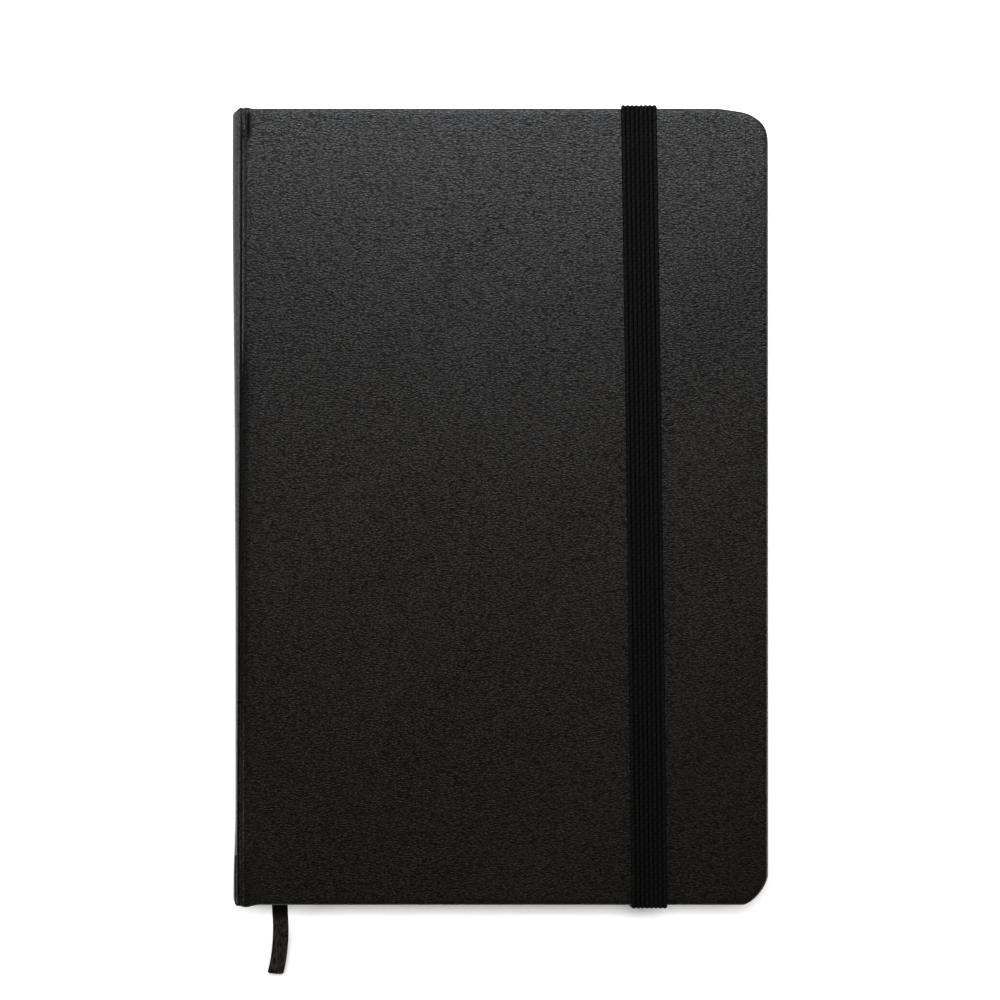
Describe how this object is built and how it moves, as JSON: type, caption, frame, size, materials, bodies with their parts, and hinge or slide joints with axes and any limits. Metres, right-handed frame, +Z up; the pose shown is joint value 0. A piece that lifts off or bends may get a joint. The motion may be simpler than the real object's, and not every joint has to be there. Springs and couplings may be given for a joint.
{
  "type": "sketchbook",
  "caption": "Portrait hard-cover sketchbook with a flat spine, sewn book block, elastic closure and ribbon bookmark; opens flat.",
  "frame": {"origin": "centre of the closed book's footprint, on the surface its back cover rests on", "axes": "+Z up through the closed book, +Y towards the head of the pages, +X towards the fore-edge; the spine is at -X"},
  "size_m": [0.1404, 0.2312, 0.0169],
  "materials": {
    "leatherette": "matte",
    "greyboard": "matte",
    "drawing_paper": "matte",
    "endpaper": "matte",
    "mull_cloth": "matte",
    "kraft_paper": "matte",
    "adhesive": "satin",
    "thread": "matte",
    "headband": "matte",
    "elastic": "matte",
    "ribbon": "satin"
  },
  "bodies": {
    "back_cover": {"back_board": "greyboard", "back_cover_wrap": "leatherette", "mull_back_flap": "mull_cloth", "back_endpaper": "endpaper", "elastic_band": "elastic"},
    "spine": {"spine_board": "greyboard", "spine_wrap": "leatherette", "spine_lining": "kraft_paper", "mull_spine": "mull_cloth", "spine_glue": "adhesive", "stitch_line_1": "thread", "stitch_line_2": "thread", "stitch_line_3": "thread", "stitch_line_4": "thread", "stitch_line_5": "thread", "headband": "headband", "tailband": "headband"},
    "front_cover": {"front_board": "greyboard", "front_cover_wrap": "leatherette", "mull_front_flap": "mull_cloth", "front_endpaper": "endpaper"},
    "signature_01": {"signature_01_outer_sheet": "drawing_paper", "signature_01_inner_sheet": "drawing_paper"},
    "signature_02": {"signature_02_outer_sheet": "drawing_paper", "signature_02_inner_sheet": "drawing_paper"},
    "signature_03": {"signature_03_outer_sheet": "drawing_paper", "signature_03_inner_sheet": "drawing_paper"},
    "signature_04": {"signature_04_outer_sheet": "drawing_paper", "signature_04_inner_sheet": "drawing_paper"},
    "signature_05": {"signature_05_outer_sheet": "drawing_paper", "signature_05_inner_sheet": "drawing_paper"},
    "signature_06": {"signature_06_outer_sheet": "drawing_paper", "signature_06_inner_sheet": "drawing_paper", "ribbon_bookmark": "ribbon"},
    "signature_07": {"signature_07_outer_sheet": "drawing_paper", "signature_07_inner_sheet": "drawing_paper"},
    "signature_08": {"signature_08_outer_sheet": "drawing_paper", "signature_08_inner_sheet": "drawing_paper"},
    "signature_09": {"signature_09_outer_sheet": "drawing_paper", "signature_09_inner_sheet": "drawing_paper"},
    "signature_10": {"signature_10_outer_sheet": "drawing_paper", "signature_10_inner_sheet": "drawing_paper"},
    "signature_11": {"signature_11_outer_sheet": "drawing_paper", "signature_11_inner_sheet": "drawing_paper"},
    "signature_12": {"signature_12_outer_sheet": "drawing_paper", "signature_12_inner_sheet": "drawing_paper"},
    "ribbon_tail": {"ribbon_tail": "ribbon"}
  },
  "joints": [
    {"name": "back_joint", "type": "hinge", "parent": "back_cover", "child": "spine", "pos_m": [-0.06905, 0, 0.0012], "axis": [0, -1, 0], "range_deg": [0, 90], "deforming": ["elastic_band"]},
    {"name": "front_joint", "type": "hinge", "parent": "spine", "child": "front_cover", "pos_m": [-0.06905, 0, 0.0148], "axis": [0, -1, 0], "range_deg": [0, 90]},
    {"name": "signature_01_turn", "type": "hinge", "parent": "spine", "child": "signature_01", "pos_m": [-0.06868, 0, 0.00157], "axis": [0, -1, 0], "range_deg": [-90, 0]},
    {"name": "signature_02_turn", "type": "hinge", "parent": "spine", "child": "signature_02", "pos_m": [-0.06832, 0, 0.00193], "axis": [0, -1, 0], "range_deg": [-90, 0]},
    {"name": "signature_03_turn", "type": "hinge", "parent": "spine", "child": "signature_03", "pos_m": [-0.06795, 0, 0.0023], "axis": [0, -1, 0], "range_deg": [-90, 0]},
    {"name": "signature_04_turn", "type": "hinge", "parent": "spine", "child": "signature_04", "pos_m": [-0.06758, 0, 0.00267], "axis": [0, -1, 0], "range_deg": [-90, 0]},
    {"name": "signature_05_turn", "type": "hinge", "parent": "spine", "child": "signature_05", "pos_m": [-0.06722, 0, 0.00303], "axis": [0, -1, 0], "range_deg": [-90, 0]},
    {"name": "signature_06_turn", "type": "hinge", "parent": "spine", "child": "signature_06", "pos_m": [-0.06685, 0, 0.0034], "axis": [0, -1, 0], "range_deg": [-90, 0]},
    {"name": "signature_07_turn", "type": "hinge", "parent": "spine", "child": "signature_07", "pos_m": [-0.06685, 0, 0.0126], "axis": [0, -1, 0], "range_deg": [0, 90]},
    {"name": "signature_08_turn", "type": "hinge", "parent": "spine", "child": "signature_08", "pos_m": [-0.06722, 0, 0.01297], "axis": [0, -1, 0], "range_deg": [0, 90]},
    {"name": "signature_09_turn", "type": "hinge", "parent": "spine", "child": "signature_09", "pos_m": [-0.06758, 0, 0.01333], "axis": [0, -1, 0], "range_deg": [0, 90]},
    {"name": "signature_10_turn", "type": "hinge", "parent": "spine", "child": "signature_10", "pos_m": [-0.06795, 0, 0.0137], "axis": [0, -1, 0], "range_deg": [0, 90]},
    {"name": "signature_11_turn", "type": "hinge", "parent": "spine", "child": "signature_11", "pos_m": [-0.06832, 0, 0.01407], "axis": [0, -1, 0], "range_deg": [0, 90]},
    {"name": "signature_12_turn", "type": "hinge", "parent": "spine", "child": "signature_12", "pos_m": [-0.06868, 0, 0.01443], "axis": [0, -1, 0], "range_deg": [0, 90]},
    {"name": "ribbon_lift", "type": "hinge", "parent": "signature_06", "child": "ribbon_tail", "pos_m": [-0.0587, -0.1021, 0.008], "axis": [-1, 0, 0], "range_deg": [0, 45]}
  ],
  "couplings": [
    {"joint": "front_joint", "follows": "back_joint", "ratio": 1},
    {"joint": "signature_01_turn", "follows": "back_joint", "ratio": -1},
    {"joint": "signature_02_turn", "follows": "back_joint", "ratio": -1},
    {"joint": "signature_03_turn", "follows": "back_joint", "ratio": -1},
    {"joint": "signature_04_turn", "follows": "back_joint", "ratio": -1},
    {"joint": "signature_05_turn", "follows": "back_joint", "ratio": -1},
    {"joint": "signature_06_turn", "follows": "back_joint", "ratio": -1},
    {"joint": "signature_07_turn", "follows": "back_joint", "ratio": 1},
    {"joint": "signature_08_turn", "follows": "back_joint", "ratio": 1},
    {"joint": "signature_09_turn", "follows": "back_joint", "ratio": 1},
    {"joint": "signature_10_turn", "follows": "back_joint", "ratio": 1},
    {"joint": "signature_11_turn", "follows": "back_joint", "ratio": 1},
    {"joint": "signature_12_turn", "follows": "back_joint", "ratio": 1}
  ]
}
